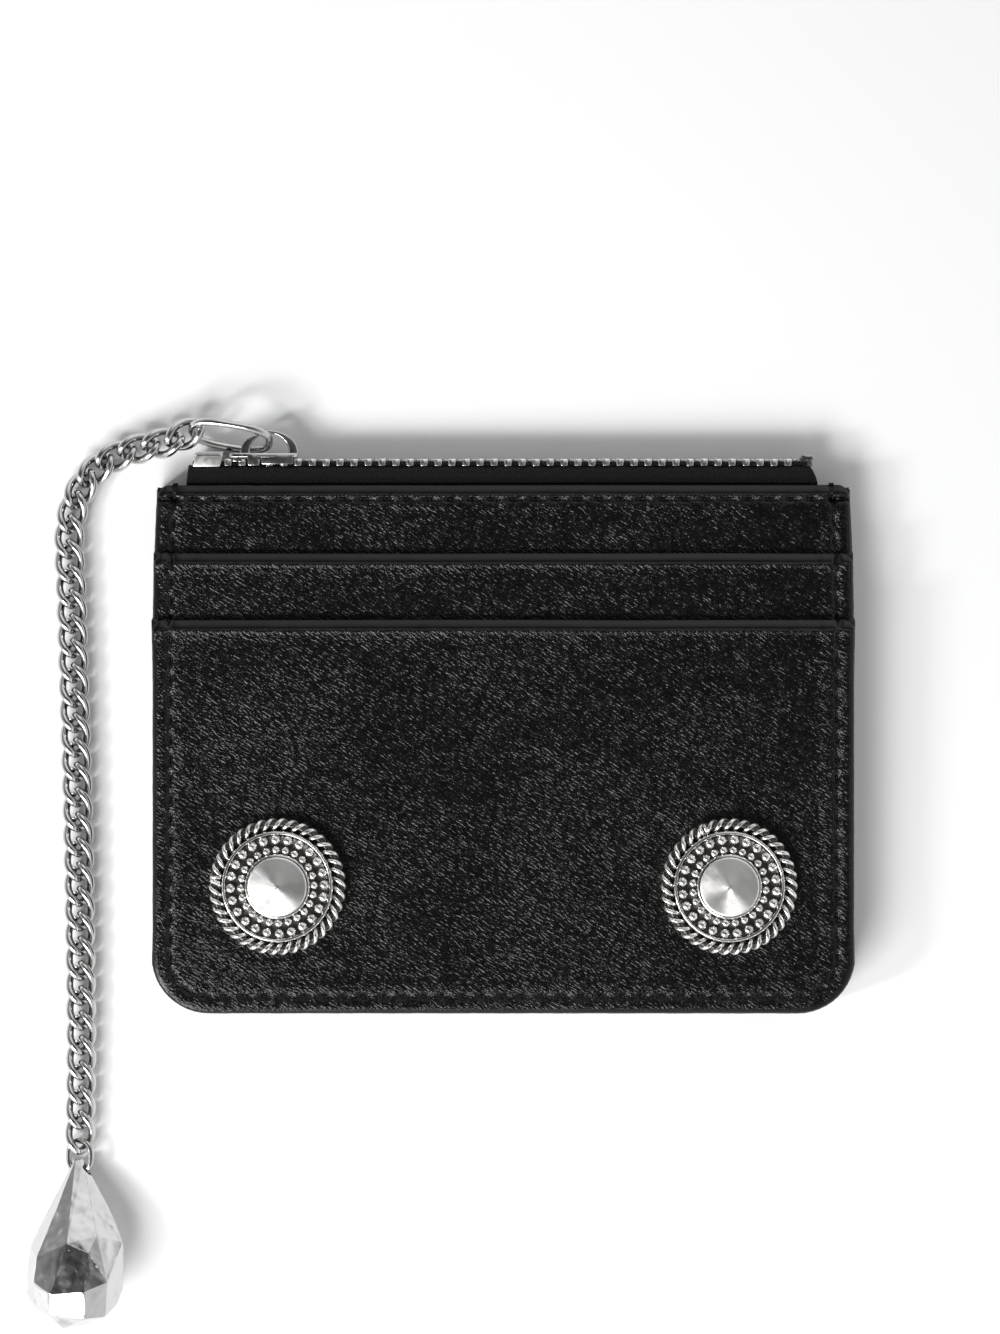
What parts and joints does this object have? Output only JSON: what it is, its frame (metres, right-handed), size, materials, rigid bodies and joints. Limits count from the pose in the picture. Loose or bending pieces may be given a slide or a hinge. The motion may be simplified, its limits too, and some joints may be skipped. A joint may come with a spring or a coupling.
{
  "type": "chain wallet",
  "caption": "Flat zipped leather card holder with beaded round conchos on its front, and a curb chain on the zip's pull ring that ends in a faceted metal drop.",
  "frame": {"origin": "middle of the back panel's outer face, on the plane that the wallet lies on", "axes": "+X to the wallet's right, seen from the front; +Y up its front, towards the zip; +Z out of its front face"},
  "size_m": [0.124, 0.1364, 0.0124],
  "materials": {
    "leather": "glossy, fine creased grain, painted edges",
    "lining": "matt twill",
    "thread": "waxed twisted thread",
    "zip_tape": "matt herringbone tape",
    "nickel": "polished",
    "silver": "polished with soft facets",
    "antique_silver": "polished high points, dark oxidised recesses"
  },
  "bodies": {
    "wallet": {"back_panel": "leather", "back_lining": "lining", "edge_filler": "leather", "front_lining": "lining", "upper_slot_panel": "leather", "middle_slot_panel": "leather", "front_panel": "leather", "perimeter_thread": "thread", "top_thread": "thread", "zip_tape_front": "zip_tape", "zip_tape_back": "zip_tape", "zip_teeth_front": "nickel", "zip_teeth_back": "nickel", "zip_end_clip": "nickel", "zip_end_stop": "nickel", "left_concho_plate": "antique_silver", "left_concho_cone": "silver", "left_concho_rope": "antique_silver", "left_concho_washer": "nickel", "right_concho_plate": "antique_silver", "right_concho_cone": "silver", "right_concho_rope": "antique_silver", "right_concho_washer": "nickel"},
    "slider": {"slider_body": "nickel", "slider_bridge": "nickel"},
    "pull_ring": {"pull_ring": "nickel"},
    "chain_link_01": {"chain_link_01": "nickel"},
    "chain_link_02": {"chain_link_02": "nickel"},
    "chain_link_03": {"chain_link_03": "nickel"},
    "chain_link_04": {"chain_link_04": "nickel"},
    "chain_link_05": {"chain_link_05": "nickel"},
    "chain_link_06": {"chain_link_06": "nickel"},
    "chain_link_07": {"chain_link_07": "nickel"},
    "chain_link_08": {"chain_link_08": "nickel"},
    "chain_link_09": {"chain_link_09": "nickel"},
    "chain_link_10": {"chain_link_10": "nickel"},
    "chain_link_11": {"chain_link_11": "nickel"},
    "chain_link_12": {"chain_link_12": "nickel"},
    "chain_link_13": {"chain_link_13": "nickel"},
    "chain_link_14": {"chain_link_14": "nickel"},
    "chain_link_15": {"chain_link_15": "nickel"},
    "chain_link_16": {"chain_link_16": "nickel"},
    "chain_link_17": {"chain_link_17": "nickel"},
    "chain_link_18": {"chain_link_18": "nickel"},
    "chain_link_19": {"chain_link_19": "nickel"},
    "chain_link_20": {"chain_link_20": "nickel"},
    "chain_link_21": {"chain_link_21": "nickel"},
    "chain_link_22": {"chain_link_22": "nickel"},
    "chain_link_23": {"chain_link_23": "nickel"},
    "chain_link_24": {"chain_link_24": "nickel"},
    "chain_link_25": {"chain_link_25": "nickel"},
    "chain_link_26": {"chain_link_26": "nickel"},
    "chain_link_27": {"chain_link_27": "nickel"},
    "chain_link_28": {"chain_link_28": "nickel"},
    "chain_link_29": {"chain_link_29": "nickel"},
    "chain_link_30": {"chain_link_30": "nickel"},
    "chain_link_31": {"chain_link_31": "nickel"},
    "chain_link_32": {"chain_link_32": "nickel"},
    "jump_link": {"jump_link": "nickel"},
    "drop": {"drop": "silver"}
  },
  "joints": [
    {"name": "zip_slide", "type": "slide", "parent": "wallet", "child": "slider", "axis": [1, 0, 0], "range_m": [0, 0.075]},
    {"name": "ring_swing", "type": "hinge", "parent": "slider", "child": "pull_ring", "pos_m": [-0.03525, 0.04598, 0.003], "axis": [0, 0, -1], "range_deg": [0, 160]},
    {"name": "chain_hinge_01", "type": "hinge", "parent": "pull_ring", "child": "chain_link_01", "pos_m": [-0.0462, 0.04815, 0.0035], "axis": [0, 0, 1], "range_deg": [-20, 5]},
    {"name": "chain_hinge_02", "type": "hinge", "parent": "chain_link_01", "child": "chain_link_02", "pos_m": [-0.04941, 0.0463, 0.00305], "axis": [0.36, -0.933, 0], "range_deg": [-20, 20]},
    {"name": "chain_hinge_03", "type": "hinge", "parent": "chain_link_02", "child": "chain_link_03", "pos_m": [-0.05303, 0.04552, 0.00251], "axis": [0, 0, -1], "range_deg": [-5, 20]},
    {"name": "chain_hinge_04", "type": "hinge", "parent": "chain_link_03", "child": "chain_link_04", "pos_m": [-0.05663, 0.04467, 0.00196], "axis": [-0.3145, 0.9493, 0], "range_deg": [-20, 20]},
    {"name": "chain_hinge_05", "type": "hinge", "parent": "chain_link_04", "child": "chain_link_05", "pos_m": [-0.06003, 0.04319, 0.00156], "axis": [0, 0, -1], "range_deg": [-5, 20]},
    {"name": "chain_hinge_06", "type": "hinge", "parent": "chain_link_05", "child": "chain_link_06", "pos_m": [-0.06279, 0.04067, 0.00158], "axis": [-0.7913, 0.6114, 0], "range_deg": [-20, 20]},
    {"name": "chain_hinge_07", "type": "hinge", "parent": "chain_link_06", "child": "chain_link_07", "pos_m": [-0.06453, 0.03737, 0.00158], "axis": [0, 0, 1], "range_deg": [-20, 6]},
    {"name": "chain_hinge_08", "type": "hinge", "parent": "chain_link_07", "child": "chain_link_08", "pos_m": [-0.06537, 0.03373, 0.00158], "axis": [0.9916, -0.1292, 0], "range_deg": [-20, 20]},
    {"name": "chain_hinge_09", "type": "hinge", "parent": "chain_link_08", "child": "chain_link_09", "pos_m": [-0.06549, 0.02999, 0.00158], "axis": [0, 0, 1], "range_deg": [-20, 7]},
    {"name": "chain_hinge_10", "type": "hinge", "parent": "chain_link_09", "child": "chain_link_10", "pos_m": [-0.06527, 0.02626, 0.00158], "axis": [0.9987, 0.0514, 0], "range_deg": [-20, 20]},
    {"name": "chain_hinge_11", "type": "hinge", "parent": "chain_link_10", "child": "chain_link_11", "pos_m": [-0.06511, 0.02253, 0.00158], "axis": [0, 0, -1], "range_deg": [-8, 20]},
    {"name": "chain_hinge_12", "type": "hinge", "parent": "chain_link_11", "child": "chain_link_12", "pos_m": [-0.065, 0.01879, 0.00158], "axis": [-0.9996, -0.0295, 0], "range_deg": [-20, 20]},
    {"name": "chain_hinge_13", "type": "hinge", "parent": "chain_link_12", "child": "chain_link_13", "pos_m": [-0.06489, 0.01505, 0.00158], "axis": [0, 0, -1], "range_deg": [-10, 20]},
    {"name": "chain_hinge_14", "type": "hinge", "parent": "chain_link_13", "child": "chain_link_14", "pos_m": [-0.06478, 0.01131, 0.00158], "axis": [-0.9995, -0.0304, 0], "range_deg": [-20, 20]},
    {"name": "chain_hinge_15", "type": "hinge", "parent": "chain_link_14", "child": "chain_link_15", "pos_m": [-0.06466, 0.00757, 0.00158], "axis": [0, 0, 1], "range_deg": [-20, 11]},
    {"name": "chain_hinge_16", "type": "hinge", "parent": "chain_link_15", "child": "chain_link_16", "pos_m": [-0.06454, 0.00382, 0.00158], "axis": [0.9995, 0.0313, 0], "range_deg": [-20, 20]},
    {"name": "chain_hinge_17", "type": "hinge", "parent": "chain_link_16", "child": "chain_link_17", "pos_m": [-0.06443, 0.00009, 0.00158], "axis": [0, 0, 1], "range_deg": [-20, 14]},
    {"name": "chain_hinge_18", "type": "hinge", "parent": "chain_link_17", "child": "chain_link_18", "pos_m": [-0.06432, -0.00365, 0.00158], "axis": [0.9996, 0.0284, 0], "range_deg": [-20, 20]},
    {"name": "chain_hinge_19", "type": "hinge", "parent": "chain_link_18", "child": "chain_link_19", "pos_m": [-0.06421, -0.0074, 0.00158], "axis": [0, 0, -1], "range_deg": [-18, 20]},
    {"name": "chain_hinge_20", "type": "hinge", "parent": "chain_link_19", "child": "chain_link_20", "pos_m": [-0.06413, -0.01114, 0.00158], "axis": [-0.9997, -0.0232, 0], "range_deg": [-20, 20]},
    {"name": "chain_hinge_21", "type": "hinge", "parent": "chain_link_20", "child": "chain_link_21", "pos_m": [-0.06404, -0.01488, 0.00158], "axis": [0, 0, -1], "range_deg": [-20, 20]},
    {"name": "chain_hinge_22", "type": "hinge", "parent": "chain_link_21", "child": "chain_link_22", "pos_m": [-0.06396, -0.01862, 0.00158], "axis": [-0.9998, -0.0195, 0], "range_deg": [-20, 20]},
    {"name": "chain_hinge_23", "type": "hinge", "parent": "chain_link_22", "child": "chain_link_23", "pos_m": [-0.06389, -0.02235, 0.00158], "axis": [0, 0, 1], "range_deg": [-20, 20]},
    {"name": "chain_hinge_24", "type": "hinge", "parent": "chain_link_23", "child": "chain_link_24", "pos_m": [-0.06383, -0.02609, 0.00158], "axis": [0.9999, 0.0168, 0], "range_deg": [-20, 20]},
    {"name": "chain_hinge_25", "type": "hinge", "parent": "chain_link_24", "child": "chain_link_25", "pos_m": [-0.06377, -0.02983, 0.00158], "axis": [0, 0, 1], "range_deg": [-20, 20]},
    {"name": "chain_hinge_26", "type": "hinge", "parent": "chain_link_25", "child": "chain_link_26", "pos_m": [-0.0637, -0.03357, 0.00158], "axis": [0.9999, 0.0164, 0], "range_deg": [-20, 20]},
    {"name": "chain_hinge_27", "type": "hinge", "parent": "chain_link_26", "child": "chain_link_27", "pos_m": [-0.06365, -0.0373, 0.00158], "axis": [0, 0, -1], "range_deg": [-20, 20]},
    {"name": "chain_hinge_28", "type": "hinge", "parent": "chain_link_27", "child": "chain_link_28", "pos_m": [-0.06361, -0.04105, 0.00158], "axis": [-1, -0.0063, 0], "range_deg": [-20, 20]},
    {"name": "chain_hinge_29", "type": "hinge", "parent": "chain_link_28", "child": "chain_link_29", "pos_m": [-0.0636, -0.04479, 0.00158], "axis": [0, 0, -1], "range_deg": [-20, 20]},
    {"name": "chain_hinge_30", "type": "hinge", "parent": "chain_link_29", "child": "chain_link_30", "pos_m": [-0.06362, -0.04853, 0.00158], "axis": [-1, 0.0094, 0], "range_deg": [-20, 20]},
    {"name": "chain_hinge_31", "type": "hinge", "parent": "chain_link_30", "child": "chain_link_31", "pos_m": [-0.06367, -0.05227, 0.00158], "axis": [0, 0, 1], "range_deg": [-20, 20]},
    {"name": "chain_hinge_32", "type": "hinge", "parent": "chain_link_31", "child": "chain_link_32", "pos_m": [-0.06373, -0.05602, 0.00158], "axis": [0.9998, -0.0181, 0], "range_deg": [-20, 20]},
    {"name": "jump_hinge", "type": "hinge", "parent": "chain_link_32", "child": "jump_link", "pos_m": [-0.06381, -0.05975, 0.00158], "axis": [0.9998, -0.0193, 0], "range_deg": [-30, 30]},
    {"name": "drop_hinge", "type": "hinge", "parent": "jump_link", "child": "drop", "pos_m": [-0.06388, -0.06382, 0.00158], "axis": [0.9061, -0.0175, 0.4226], "range_deg": [-30, 30]}
  ],
  "couplings": [
    {"joint": "ring_swing", "follows": "zip_slide", "rad_per_m": 37.21}
  ]
}
